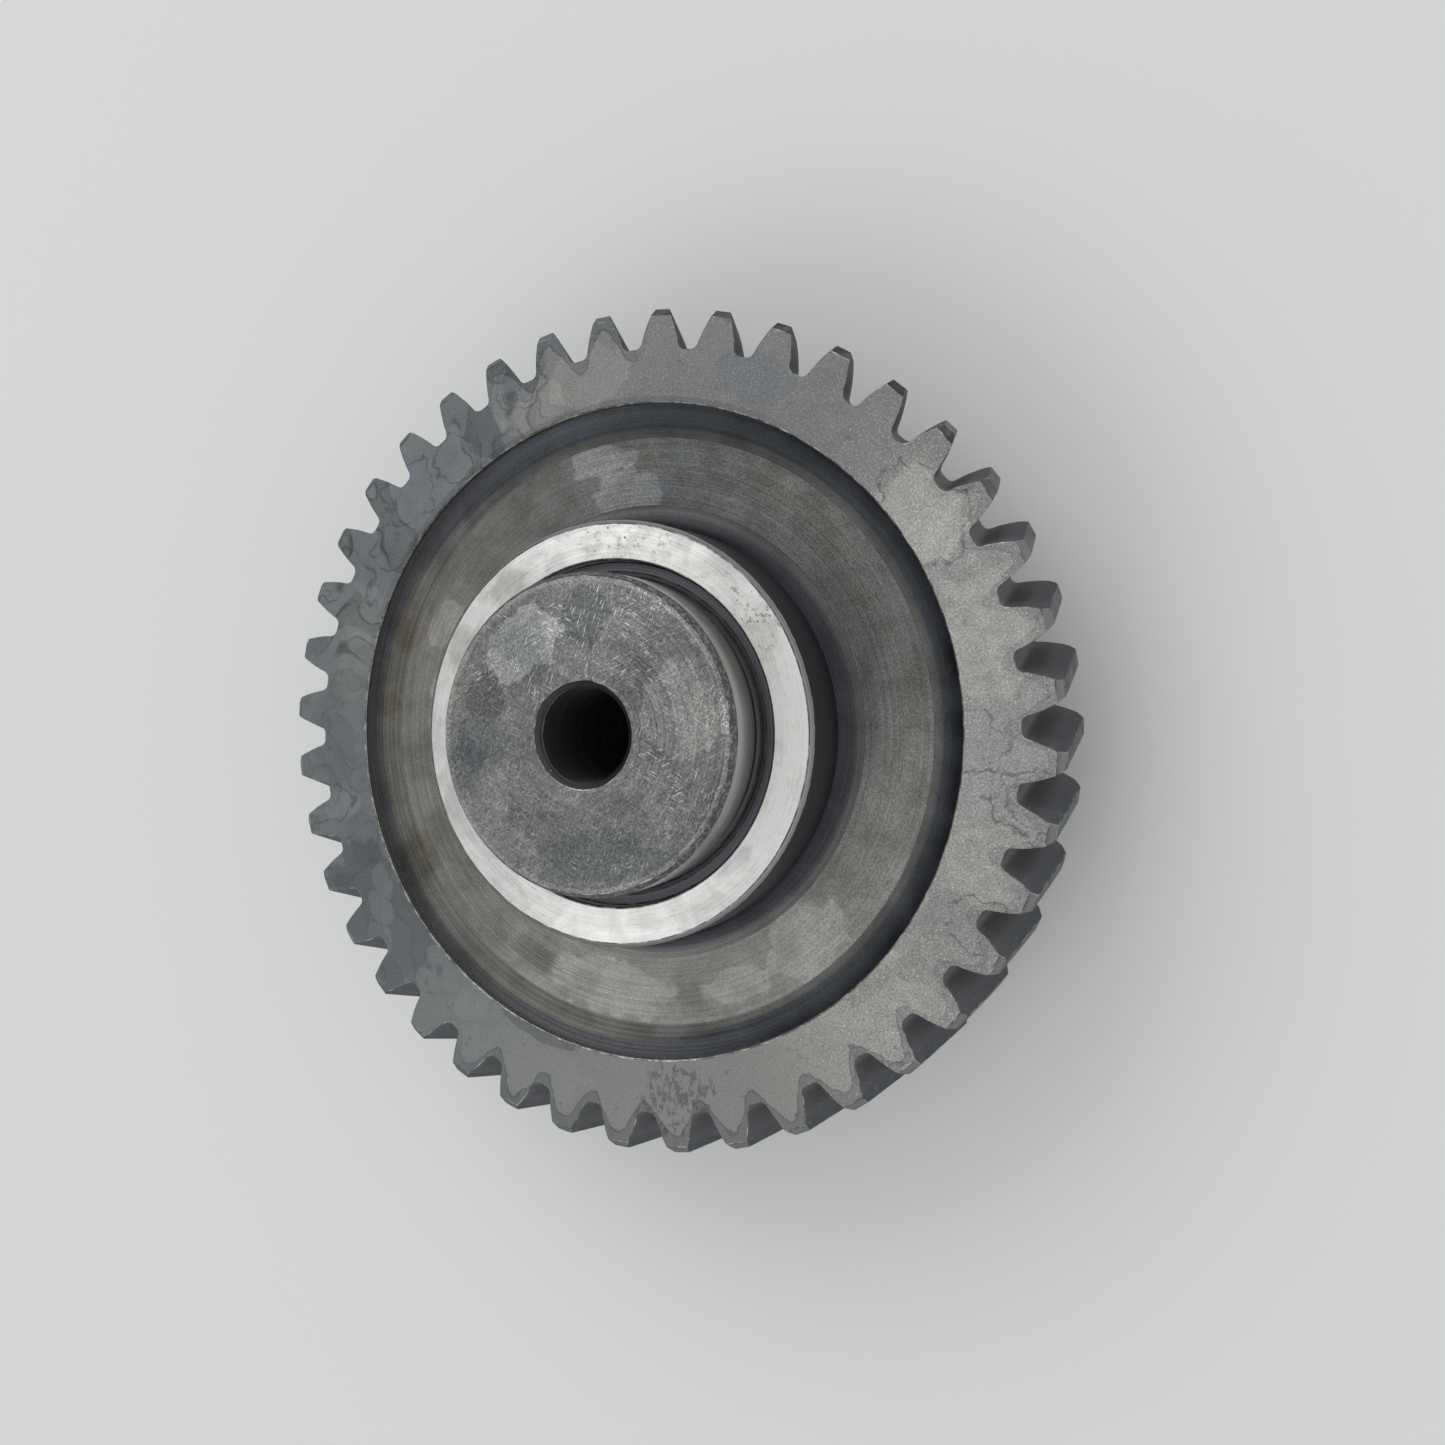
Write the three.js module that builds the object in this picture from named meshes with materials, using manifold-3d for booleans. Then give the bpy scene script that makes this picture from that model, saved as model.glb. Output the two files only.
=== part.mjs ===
// Helical idler gear on its stub spindle: a 40-tooth, 7 normal-pitch wheel that turns on two
// plain bushings. Millimetres. The gear axis is Z and the origin is the middle of the toothed
// rim; +Z points to the spindle's free (pilot) end.
import * as THREE from 'three';
import { mergeVertices } from 'three/addons/utils/BufferGeometryUtils.js';
import Module from 'manifold-3d';

// Teeth
const TEETH = 40;
const NORMAL_MODULE = 25.4 / 7;
const HELIX_ANGLE = THREE.MathUtils.degToRad(17); // left-hand
const NORMAL_PRESSURE_ANGLE = THREE.MathUtils.degToRad(20);
const DEDENDUM_FACTOR = 1.1;
const FACE_WIDTH = 20.8;
const TIP_CHAMFER = 1.35;
const MID_TOOTH_ANGLE = THREE.MathUtils.degToRad(8); // a tooth's centre at z = 0

// Wheel body
const HUB_LENGTH = 45.2;
const HUB_RADIUS = 38.8;
const HUB_CHAMFER = 0.8;
const HUB_BORE_RADIUS = 31.4;
const WEB_THICKNESS = 13.4;
const DISH_RADIUS = 61.7; // mouth of the turned recess, at the rim
const DISH_WALL_DEPTH = 1.8;
const DISH_FILLET_SPAN = 5.8; // radial run of the curved foot of the rim wall
const HUB_FILLET_SPAN = 4.4;
const HUB_FILLET_RISE = 2.1;

// Spindle
const SPINDLE_RADIUS = 28.6;
const SPINDLE_HALF_LENGTH = 33.5;
const PILOT_EDGE_RADIUS = 27.8;
const PILOT_CHAMFER_LENGTH = 1.4;
const RELIEF_DEPTH = 0.6;
const RELIEF_ABOVE_FACE = 1.5;
const RELIEF_BELOW_FACE = 1.6;
const BOLT_HOLE_RADIUS = 8.4;
const BOLT_HOLE_CHAMFER = 1.2;
const OIL_HOLE_RADIUS = 2.5;
const COLLAR_RADIUS = 38;
const COLLAR_CHAMFER = 1;

// Bushings and thrust washer
const RUNNING_CLEARANCE = 0.08;
const PRESS_GAP = 0.1;
const BUSHING_LENGTH = 19;
const BUSHING_RECESS = 1.8;
const BUSHING_CHAMFER = 0.8;
const WASHER_THICKNESS = 2;
const WASHER_RADIUS = 37;
const END_FLOAT = 0.15;

const SEGMENTS = 80; // facets round every turned surface, two to a tooth
const RIM_LAYERS = 2; // straight steps that follow the helix across the rim
const PAST = 5; // how far a cutter runs past what it cuts

const transversePressureAngle = Math.atan(Math.tan(NORMAL_PRESSURE_ANGLE) / Math.cos(HELIX_ANGLE));
const pitchRadius = (TEETH * NORMAL_MODULE) / (2 * Math.cos(HELIX_ANGLE));
const baseRadius = pitchRadius * Math.cos(transversePressureAngle);
const tipRadius = pitchRadius + NORMAL_MODULE;
const rootRadius = pitchRadius - DEDENDUM_FACTOR * NORMAL_MODULE;
const twistPerMm = -Math.tan(HELIX_ANGLE) / pitchRadius;
const halfFace = FACE_WIDTH / 2;
const halfHub = HUB_LENGTH / 2;
const halfWeb = WEB_THICKNESS / 2;
const wallFoot = halfFace - DISH_WALL_DEPTH;
const bushingInner = SPINDLE_RADIUS + RUNNING_CLEARANCE;
const bushingOuter = HUB_BORE_RADIUS - PRESS_GAP;
const washerTop = -halfHub - END_FLOAT;
const collarTop = washerTop - WASHER_THICKNESS - END_FLOAT;

const wasm = await Module();
wasm.setup();

function toSolid(geometry) {
  const bare = geometry.clone();
  bare.deleteAttribute('normal');
  bare.deleteAttribute('uv');
  const merged = mergeVertices(bare, 1e-5);
  const vertProperties = new Float32Array(merged.attributes.position.array);
  const triVerts = new Uint32Array(merged.index.array);
  return new wasm.Manifold(new wasm.Mesh({ numProp: 3, vertProperties, triVerts }));
}

function toGeometry(solid) {
  const mesh = solid.getMesh();
  const geometry = new THREE.BufferGeometry();
  geometry.setAttribute('position', new THREE.BufferAttribute(mesh.vertProperties, 3));
  geometry.setIndex(new THREE.BufferAttribute(mesh.triVerts, 1));
  geometry.computeVertexNormals();
  return geometry;
}

// A closed [radius, z] outline, listed with the solid on its left, turned about Z.
function turned(outline) {
  const points = outline.map(([radius, z]) => new THREE.Vector2(radius, z));
  points.push(points[0].clone());
  const geometry = new THREE.LatheGeometry(points, SEGMENTS);
  geometry.rotateX(Math.PI / 2);
  return geometry;
}

function cylinder(radius, bottom, top) {
  return turned([[0, bottom], [radius, bottom], [radius, top], [0, top]]);
}

// Points of a shallow arc that leaves a flat floor at (r0, z0) and climbs to (r1, z1).
function floorFillet(r0, z0, r1, z1, steps) {
  const run = Math.abs(r1 - r0);
  const rise = z1 - z0;
  const radius = (run * run + rise * rise) / (2 * rise);
  const sweep = Math.asin(run / radius);
  const points = [];
  for (let i = 0; i <= steps; i += 1) {
    const angle = (sweep * i) / steps;
    points.push([
      r0 + Math.sign(r1 - r0) * radius * Math.sin(angle),
      z0 + radius * (1 - Math.cos(angle)),
    ]);
  }
  return points;
}

// Half the angle that a tooth fills at a radius: half the pitch at the pitch circle.
function halfToothAngle(radius) {
  const involute = (angle) => Math.tan(angle) - angle;
  const pressure = Math.acos(Math.min(1, baseRadius / radius));
  return Math.PI / (2 * TEETH) + involute(transversePressureAngle) - involute(pressure);
}

// One tooth and half a space each side, as [angle, radius] pairs in anticlockwise order.
function toothOutline() {
  const flankFoot = rootRadius + 0.45 * NORMAL_MODULE;
  const flankRadii = [flankFoot, pitchRadius, tipRadius - TIP_CHAMFER, tipRadius];
  const rising = [[-Math.PI / TEETH, rootRadius]];
  const rootHalf = halfToothAngle(flankFoot) + 0.011;
  rising.push([-rootHalf, rootRadius + 0.1 * NORMAL_MODULE]);
  flankRadii.forEach((radius) => rising.push([-halfToothAngle(radius), radius]));
  const falling = rising.slice(1).reverse().map(([angle, radius]) => [-angle, radius]);
  return rising.concat(falling);
}

function toothedPrism(halfHeight, layers) {
  const outline = toothOutline();
  const positions = [];
  const index = [];
  const ringSize = TEETH * outline.length;
  for (let layer = 0; layer <= layers; layer += 1) {
    const z = -halfHeight + (2 * halfHeight * layer) / layers;
    for (let tooth = 0; tooth < TEETH; tooth += 1) {
      const centre = MID_TOOTH_ANGLE + (2 * Math.PI * tooth) / TEETH + twistPerMm * z;
      outline.forEach(([angle, radius]) => {
        positions.push(radius * Math.cos(centre + angle), radius * Math.sin(centre + angle), z);
      });
    }
  }
  for (let layer = 0; layer < layers; layer += 1) {
    for (let i = 0; i < ringSize; i += 1) {
      const a = layer * ringSize + i;
      const b = layer * ringSize + ((i + 1) % ringSize);
      index.push(a, b, b + ringSize, a, b + ringSize, a + ringSize);
    }
  }
  const bottomCentre = positions.length / 3;
  positions.push(0, 0, -halfHeight, 0, 0, halfHeight);
  const topStart = layers * ringSize;
  for (let i = 0; i < ringSize; i += 1) {
    const next = (i + 1) % ringSize;
    index.push(bottomCentre, next, i);
    index.push(bottomCentre + 1, topStart + i, topStart + next);
  }
  const geometry = new THREE.BufferGeometry();
  geometry.setAttribute('position', new THREE.Float32BufferAttribute(positions, 3));
  geometry.setIndex(index);
  return geometry;
}

// What the lathe takes off one side of the blank: the hub's wall, the dished web, the rim's
// face and the chamfer over the tooth tips. side is 1 for the front and -1 for the rear.
function sideCut(side) {
  const hubFoot = halfWeb + HUB_FILLET_RISE;
  const hubFillet = floorFillet(HUB_RADIUS + HUB_FILLET_SPAN, halfWeb, HUB_RADIUS, hubFoot, 2);
  const rimFillet = floorFillet(DISH_RADIUS - DISH_FILLET_SPAN, halfWeb, DISH_RADIUS, wallFoot, 2);
  const outline = [
    [HUB_RADIUS - HUB_CHAMFER - PAST, halfHub + PAST],
    [HUB_RADIUS, halfHub - HUB_CHAMFER],
    ...hubFillet.reverse(),
    ...rimFillet,
    [DISH_RADIUS, halfFace],
    [tipRadius - TIP_CHAMFER, halfFace],
    [tipRadius + PAST, halfFace - TIP_CHAMFER - PAST],
    [tipRadius + PAST, halfHub + PAST],
  ];
  return turned(side > 0 ? outline : outline.map(([radius, z]) => [radius, -z]).reverse());
}

function gearWheel() {
  const blank = toSolid(toothedPrism(halfFace + 1, RIM_LAYERS));
  const hub = toSolid(cylinder(HUB_RADIUS + 1, -halfHub, halfHub));
  const bore = toSolid(cylinder(HUB_BORE_RADIUS, -halfHub - PAST, halfHub + PAST));
  const wheel = blank
    .add(hub)
    .subtract(toSolid(sideCut(1)))
    .subtract(toSolid(sideCut(-1)))
    .subtract(bore);
  return toGeometry(wheel);
}

// side is 1 for the front bushing and -1 for the rear one; the chamfer faces outwards.
function bushing(side) {
  const outer = halfHub - BUSHING_RECESS;
  const inner = outer - BUSHING_LENGTH;
  const outline = [
    [bushingInner, inner],
    [bushingOuter, inner],
    [bushingOuter, outer],
    [bushingInner + BUSHING_CHAMFER, outer],
    [bushingInner, outer - BUSHING_CHAMFER],
  ];
  return turned(side > 0 ? outline : outline.map(([radius, z]) => [radius, -z]).reverse());
}

function thrustWasher() {
  return turned([
    [bushingInner, washerTop - WASHER_THICKNESS],
    [WASHER_RADIUS, washerTop - WASHER_THICKNESS],
    [WASHER_RADIUS, washerTop],
    [bushingInner, washerTop],
  ]);
}

function spindle() {
  const end = SPINDLE_HALF_LENGTH;
  const mouth = BOLT_HOLE_RADIUS + BOLT_HOLE_CHAMFER;
  const body = turned([
    [BOLT_HOLE_RADIUS, end - BOLT_HOLE_CHAMFER],
    [BOLT_HOLE_RADIUS, -end + BOLT_HOLE_CHAMFER],
    [mouth, -end],
    [COLLAR_RADIUS - COLLAR_CHAMFER, -end],
    [COLLAR_RADIUS, -end + COLLAR_CHAMFER],
    [COLLAR_RADIUS, collarTop],
    [SPINDLE_RADIUS, collarTop],
    [SPINDLE_RADIUS, halfHub - RELIEF_BELOW_FACE],
    [SPINDLE_RADIUS - RELIEF_DEPTH, halfHub - RELIEF_BELOW_FACE + RELIEF_DEPTH],
    [SPINDLE_RADIUS - RELIEF_DEPTH, halfHub + RELIEF_ABOVE_FACE - RELIEF_DEPTH],
    [SPINDLE_RADIUS, halfHub + RELIEF_ABOVE_FACE],
    [SPINDLE_RADIUS, end - PILOT_CHAMFER_LENGTH],
    [PILOT_EDGE_RADIUS, end],
    [mouth, end],
  ]);
  // The oil hole runs from the bolt hole to the space between the two bushings.
  const oilHole = new THREE.CylinderGeometry(OIL_HOLE_RADIUS, OIL_HOLE_RADIUS, SPINDLE_RADIUS, 12);
  oilHole.translate(0, SPINDLE_RADIUS / 2 + BOLT_HOLE_RADIUS / 2, 0);
  return toGeometry(toSolid(body).subtract(toSolid(oilHole)));
}

const steel = new THREE.MeshStandardMaterial({ color: 0x6c6f72, roughness: 0.5, metalness: 1 });
const groundSteel = new THREE.MeshStandardMaterial({ color: 0x8b8d8f, roughness: 0.3, metalness: 1 });
const linerSteel = new THREE.MeshStandardMaterial({ color: 0x4c4a48, roughness: 0.5, metalness: 1 });
const bronze = new THREE.MeshStandardMaterial({ color: 0x9a7444, roughness: 0.45, metalness: 1 });

function part(name, geometry, material) {
  const mesh = new THREE.Mesh(geometry, material);
  mesh.name = name;
  return mesh;
}

const turningParts = new THREE.Group();
turningParts.add(
  part('gear_wheel', gearWheel(), steel),
  part('front_bushing', bushing(1), linerSteel),
  part('rear_bushing', bushing(-1), linerSteel),
);

const fixedParts = new THREE.Group();
fixedParts.add(
  part('spindle', spindle(), groundSteel),
  part('thrust_washer', thrustWasher(), bronze),
);

const idlerGear = new THREE.Group();
idlerGear.add(fixedParts, turningParts);

export default idlerGear;
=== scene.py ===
import math

import bmesh
import bpy
from mathutils import Matrix, Vector


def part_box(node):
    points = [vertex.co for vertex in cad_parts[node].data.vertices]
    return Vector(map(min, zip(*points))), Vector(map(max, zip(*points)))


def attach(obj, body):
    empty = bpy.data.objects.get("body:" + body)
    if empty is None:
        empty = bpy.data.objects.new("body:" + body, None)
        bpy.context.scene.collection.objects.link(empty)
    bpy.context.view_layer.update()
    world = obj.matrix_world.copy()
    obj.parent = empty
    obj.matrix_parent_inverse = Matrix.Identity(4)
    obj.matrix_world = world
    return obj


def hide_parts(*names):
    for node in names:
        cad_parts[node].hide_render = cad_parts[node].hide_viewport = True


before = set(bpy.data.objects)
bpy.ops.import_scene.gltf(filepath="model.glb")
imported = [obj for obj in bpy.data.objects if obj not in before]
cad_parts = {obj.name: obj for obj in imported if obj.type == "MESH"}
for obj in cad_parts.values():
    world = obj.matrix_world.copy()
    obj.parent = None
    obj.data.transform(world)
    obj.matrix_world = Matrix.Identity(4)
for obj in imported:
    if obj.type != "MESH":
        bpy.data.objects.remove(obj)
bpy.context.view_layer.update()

# Looks of the helical idler gear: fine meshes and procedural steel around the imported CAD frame.
# Lengths are in metres. Scales of noise are features per metre. Angles round the axis start at +X.

MM = 0.001
TAU = 2 * math.pi

# ---------------------------------------------------------------- sizes, from the frame
wheel_low, wheel_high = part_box("gear_wheel")
spindle_low, spindle_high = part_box("spindle")
bushing_low, bushing_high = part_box("front_bushing")
washer_low, washer_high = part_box("thrust_washer")

TEETH = 40
TIP_RADIUS = wheel_high.y
HALF_HUB = wheel_high.z
HELIX_ANGLE = math.radians(17)
DEDENDUM = 1.1  # in modules
ROOT_FILLET_RISE = 0.45  # in modules
NORMAL_PRESSURE_ANGLE = math.radians(20)
# The tip circle is the pitch circle plus one normal module.
NORMAL_MODULE = TIP_RADIUS / (TEETH / (2 * math.cos(HELIX_ANGLE)) + 1)
PITCH_RADIUS = TIP_RADIUS - NORMAL_MODULE
ROOT_RADIUS = PITCH_RADIUS - DEDENDUM * NORMAL_MODULE
FLANK_FOOT_RADIUS = ROOT_RADIUS + ROOT_FILLET_RISE * NORMAL_MODULE
# How far the root fillet's start and its corner lie beyond the foot of the flank, in radians.
ROOT_FILLET_START = 0.021
ROOT_FILLET_CORNER = 0.004
TRANSVERSE_ANGLE = math.atan(math.tan(NORMAL_PRESSURE_ANGLE) / math.cos(HELIX_ANGLE))
BASE_RADIUS = PITCH_RADIUS * math.cos(TRANSVERSE_ANGLE)
MID_TOOTH_ANGLE = math.radians(8)
TWIST_PER_METRE = -math.tan(HELIX_ANGLE) / PITCH_RADIUS
HALF_FACE = 10.4 * MM  # half the width of the teeth
TIP_CHAMFER = 1.35 * MM
CHAMFER_RADIUS = TIP_RADIUS - TIP_CHAMFER

HUB_RADIUS = 38.8 * MM
HUB_CHAMFER = 0.8 * MM
BUSHING_ROOM = 0.03 * MM
HUB_BORE_RADIUS = bushing_high.y + BUSHING_ROOM
HALF_WEB = 6.7 * MM
DISH_RADIUS = 61.7 * MM
DISH_WALL_HEIGHT = 1.8 * MM
DISH_WALL_FOOT = HALF_FACE - DISH_WALL_HEIGHT
EDGE_BREAK = 0.3 * MM  # at the mouths of the dish and of the hub bore
RIM_FILLET_SPAN = 5.8 * MM
HUB_FILLET_SPAN = 4.4 * MM
HUB_FILLET_RISE = 2.1 * MM
FACE_RING_RADIUS = 69.5 * MM  # where the turned rim face meets the teeth's faces

SPINDLE_RADIUS = 28.6 * MM
PILOT_EDGE_RADIUS = 27.8 * MM
PILOT_CHAMFER = 1.4 * MM
RELIEF_DEPTH = 0.6 * MM
RELIEF_ABOVE = 1.5 * MM
RELIEF_BELOW = 1.6 * MM
BOLT_HOLE_RADIUS = 8.4 * MM
BOLT_HOLE_CHAMFER = 1.2 * MM
OIL_HOLE_RADIUS = 2.5 * MM
COLLAR_RADIUS = spindle_high.y
COLLAR_CHAMFER = 1 * MM
END_FLOAT = 0.15 * MM
COLLAR_TOP = washer_low.z - END_FLOAT
RUNNING_CLEARANCE = 0.08 * MM
BUSHING_INNER = SPINDLE_RADIUS + RUNNING_CLEARANCE
BUSHING_CHAMFER = 0.8 * MM
BUSHING_LEAD = 0.15 * MM
RING_RADIUS = HUB_RADIUS - HUB_CHAMFER  # the bright thrust ring's outer edge

LATHE_PER_TOOTH = 8
SEGMENTS = TEETH * LATHE_PER_TOOTH
FLANK_LAYERS = 12
ROOT_FILLET_STEPS = 6
FLANK_STEPS = 6
TIP_CHAMFER_STEPS = 2
RIM_FILLET_STEPS = 10
HUB_FILLET_STEPS = 8
EDGE_BEVEL = 0.13 * MM
BEVELLED_FROM = math.radians(22)  # outward edges sharper than this are broken
SHARP_FROM = math.radians(24)  # shading stays smooth below this
SAME_RADIUS = 1e-7  # radii closer than this count as one


# ---------------------------------------------------------------- node helpers
class Nodes:
    """Builds one node tree; its calls return output sockets."""

    def __init__(self, tree):
        self.tree = tree

    def add(self, kind, **settings):
        node = self.tree.nodes.new(kind)
        for key, value in settings.items():
            setattr(node, key, value)
        return node

    def feed(self, socket, value):
        if isinstance(value, bpy.types.NodeSocket):
            self.tree.links.new(value, socket)
        elif value is not None:
            socket.default_value = value

    def math(self, operation, a, b=None, c=None):
        node = self.add("ShaderNodeMath", operation=operation)
        for socket, value in zip(node.inputs, (a, b, c)):
            self.feed(socket, value)
        return node.outputs[0]

    def vector(self, operation, a, b=None, scale=None):
        node = self.add("ShaderNodeVectorMath", operation=operation)
        self.feed(node.inputs[0], a)
        self.feed(node.inputs[1], b)
        if scale is not None:
            self.feed(node.inputs["Scale"], scale)
        is_number = operation in ("LENGTH", "DISTANCE", "DOT_PRODUCT")
        return node.outputs["Value" if is_number else "Vector"]

    def combine(self, x, y, z):
        node = self.add("ShaderNodeCombineXYZ")
        for socket, value in zip(node.inputs, (x, y, z)):
            self.feed(socket, value)
        return node.outputs[0]

    def position(self):
        return self.add("ShaderNodeTexCoord").outputs["Object"]

    def split(self, vector):
        node = self.add("ShaderNodeSeparateXYZ")
        self.feed(node.inputs[0], vector)
        return node.outputs[0], node.outputs[1], node.outputs[2]

    def noise(self, vector, scale, detail=2.0, roughness=0.5, distortion=0.0, seed=0.0):
        node = self.add("ShaderNodeTexNoise", noise_dimensions="4D")
        self.feed(node.inputs["Vector"], vector)
        for key, value in (("W", seed), ("Scale", scale), ("Detail", detail),
                           ("Roughness", roughness), ("Distortion", distortion)):
            self.feed(node.inputs[key], value)
        return node.outputs["Fac"]

    def cells(self, vector, scale):
        """Distance to the nearest point of a scatter."""
        node = self.add("ShaderNodeTexVoronoi")
        self.feed(node.inputs["Vector"], vector)
        self.feed(node.inputs["Scale"], scale)
        return node.outputs["Distance"]

    def ramp(self, value, low, high, out_low=0.0, out_high=1.0):
        """A smooth step from out_low at low to out_high at high."""
        node = self.add("ShaderNodeMapRange", interpolation_type="SMOOTHSTEP")
        for socket, entry in zip(node.inputs, (value, low, high, out_low, out_high)):
            self.feed(socket, entry)
        return node.outputs[0]

    def line(self, value, level, width):
        """1 where value crosses level, falling to 0 within width: a contour line."""
        gap = self.math("ABSOLUTE", self.math("SUBTRACT", value, level))
        return self.ramp(gap, 0.0, width, 1.0, 0.0)

    def mix(self, factor, a, b, blend="MIX"):
        node = self.add("ShaderNodeMix", data_type="RGBA", blend_type=blend, clamp_result=False)
        self.feed(node.inputs["Factor"], factor)
        self.feed(node.inputs["A"], colour(a))
        self.feed(node.inputs["B"], colour(b))
        return node.outputs["Result"]

    def between(self, value, low, high, a, b):
        """Colour a at low and below, b at high and above."""
        return self.mix(self.ramp(value, low, high), a, b)

    def turned(self, vector, angle):
        """The vector turned about Z."""
        node = self.add("ShaderNodeVectorRotate", rotation_type="Z_AXIS")
        self.feed(node.inputs["Vector"], vector)
        self.feed(node.inputs["Angle"], angle)
        return node.outputs[0]

    def bump(self, height, strength, distance):
        node = self.add("ShaderNodeBump")
        self.feed(node.inputs["Strength"], strength)
        self.feed(node.inputs["Distance"], distance)
        self.feed(node.inputs["Height"], height)
        return node.outputs[0]


def colour(value):
    """RGBA from a triple or a single grey; a socket stays as it is."""
    if isinstance(value, (tuple, list)) and len(value) == 3:
        return (*value, 1.0)
    if isinstance(value, (int, float)):
        return (value, value, value, 1.0)
    return value


def heading(angle):
    """Unit vector at an angle in degrees from +X."""
    return (math.cos(math.radians(angle)), math.sin(math.radians(angle)), 0.0)


class Steel:
    """A principled metal with the gear's polar coordinates ready to use."""

    def __init__(self, name, anisotropy=0.0, grazing=1.0):
        self.material = bpy.data.materials.new(name)
        self.material.use_nodes = True
        tree = self.material.node_tree
        self.shader = tree.nodes["Principled BSDF"]
        self.n = Nodes(tree)
        self.shader.inputs["Metallic"].default_value = 1.0
        self.shader.inputs["Specular Tint"].default_value = (grazing, grazing, grazing, 1.0)
        self.place = self.n.position()
        self.x, self.y, self.z = self.n.split(self.place)
        flat = self.n.combine(self.x, self.y, 0.0)
        self.radius = self.n.vector("LENGTH", flat)
        self.out = self.n.vector("NORMALIZE", flat)
        if anisotropy:
            self.shader.inputs["Anisotropic"].default_value = anisotropy
            self.n.feed(self.shader.inputs["Tangent"], self.out)

    def rings(self, along, fine, waver=0.35, detail=3.0, seed=0.0):
        """Noise for turning lines: quick along `along`, slow (by waver) round the axis."""
        n = self.n
        slow = n.vector("SCALE", self.out, scale=waver)
        x, y, _ = n.split(slow)
        return n.noise(n.combine(x, y, n.math("MULTIPLY", along, fine)), 1.0, detail, 0.6,
                       seed=seed)

    def gap(self, angle, radius, along, across, scale, seed):
        """Distance from a polar place, 1 on a wobbly oval `along` round and `across` out in size."""
        n = self.n
        chord = n.vector("DISTANCE", self.out, heading(angle))
        round_axis = n.math("MULTIPLY", chord, radius / along)
        outwards = n.math("MULTIPLY_ADD", self.radius, 1 / (across * MM), -radius / across)
        shift = n.math("SUBTRACT", n.noise(self.place, scale, 2.0, 0.45, seed=seed), 0.5)
        return n.math("MULTIPLY_ADD", shift, WOBBLE,
                      n.vector("LENGTH", n.combine(round_axis, outwards, 0.0)))

    def spot(self, place, soft=0.12):
        """A patch (angle, radius, along, across): 1 inside, 0 outside and on the rear."""
        n = self.n
        patch = n.ramp(self.gap(*place, 260.0, place[0]), 1 - soft, 1.0, 1.0, 0.0)
        return n.math("MULTIPLY", patch, n.ramp(self.z, 0.0, MM))

    def tide(self, place):
        """The dark, broken line that a drying drop leaves along its outline."""
        n = self.n
        outline = n.line(self.gap(*place, 300.0, place[0]), 1.0, 0.1)
        broken = n.ramp(n.noise(self.place, 330.0, 4.0, 0.65, seed=place[1]), 0.38, 0.55, 0.15, 1.0)
        outline = n.math("MULTIPLY", outline, broken)
        return n.math("MULTIPLY", outline, n.ramp(self.z, 0.0, MM))

    def tinted(self, base, mask, tone):
        """Multiplies the colour by tone where the mask is set."""
        return self.n.mix(mask, base, tone, "MULTIPLY")

    def varied(self, base, field, low, high, dark, light):
        """Multiplies the colour by dark to light as the field goes from low to high."""
        return self.tinted(base, 1.0, self.n.ramp(field, low, high, dark, light))

    def patched(self, base, patches, soft=0.12):
        """Multiplies the colour by each patch's tone, inside the patch."""
        for place, tone in patches:
            base = self.tinted(base, self.spot(place, soft), tone)
        return base

    def sector(self, angle, edge, full):
        """1 round the given direction, fading as the cosine of the angle off it drops."""
        facing = self.n.vector("DOT_PRODUCT", self.out, heading(angle))
        return self.n.ramp(facing, edge, full)

    def stained(self, base, scale, levels, seed, outline, width, amount):
        """Dried-liquid stains: a step in tone at each level of a noise, with a dark outline."""
        n = self.n
        field = n.noise(self.place, scale, 2.0, 0.4, seed=seed)
        broken = n.ramp(n.noise(self.place, 260.0, 3.0, 0.6, seed=seed + 1.0), 0.38, 0.58, 0.2, 1.0)
        for level, tone in levels:
            inside = n.math("MULTIPLY", n.ramp(field, level, level + 0.014), amount)
            base = self.tinted(base, inside, (tone, tone, tone))
            edge = n.math("MULTIPLY", n.line(field, level, width), broken)
            edge = n.math("MULTIPLY", edge, amount)
            base = n.mix(n.math("MULTIPLY", edge, outline), base, STAIN_LINE)
        return base

    def finish(self, base, roughness, normal=None):
        self.n.feed(self.shader.inputs["Base Color"], colour(base))
        self.n.feed(self.shader.inputs["Roughness"], roughness)
        self.n.feed(self.shader.inputs["Normal"], normal)
        return self.material


# ---------------------------------------------------------------- finishes of the regions
STAIN_LINE = (0.07, 0.074, 0.078)
TIDE_LINE = (0.08, 0.084, 0.088)
WOBBLE = 1.2  # how far a patch's outline strays, in patch sizes at the full swing of the noise
# Layers of fine scratches on the pilot's end: their direction in radians and their seed.
SCRATCHES = ((0.5, 2.0), (1.9, 6.0), (2.7, 9.0))

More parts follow.
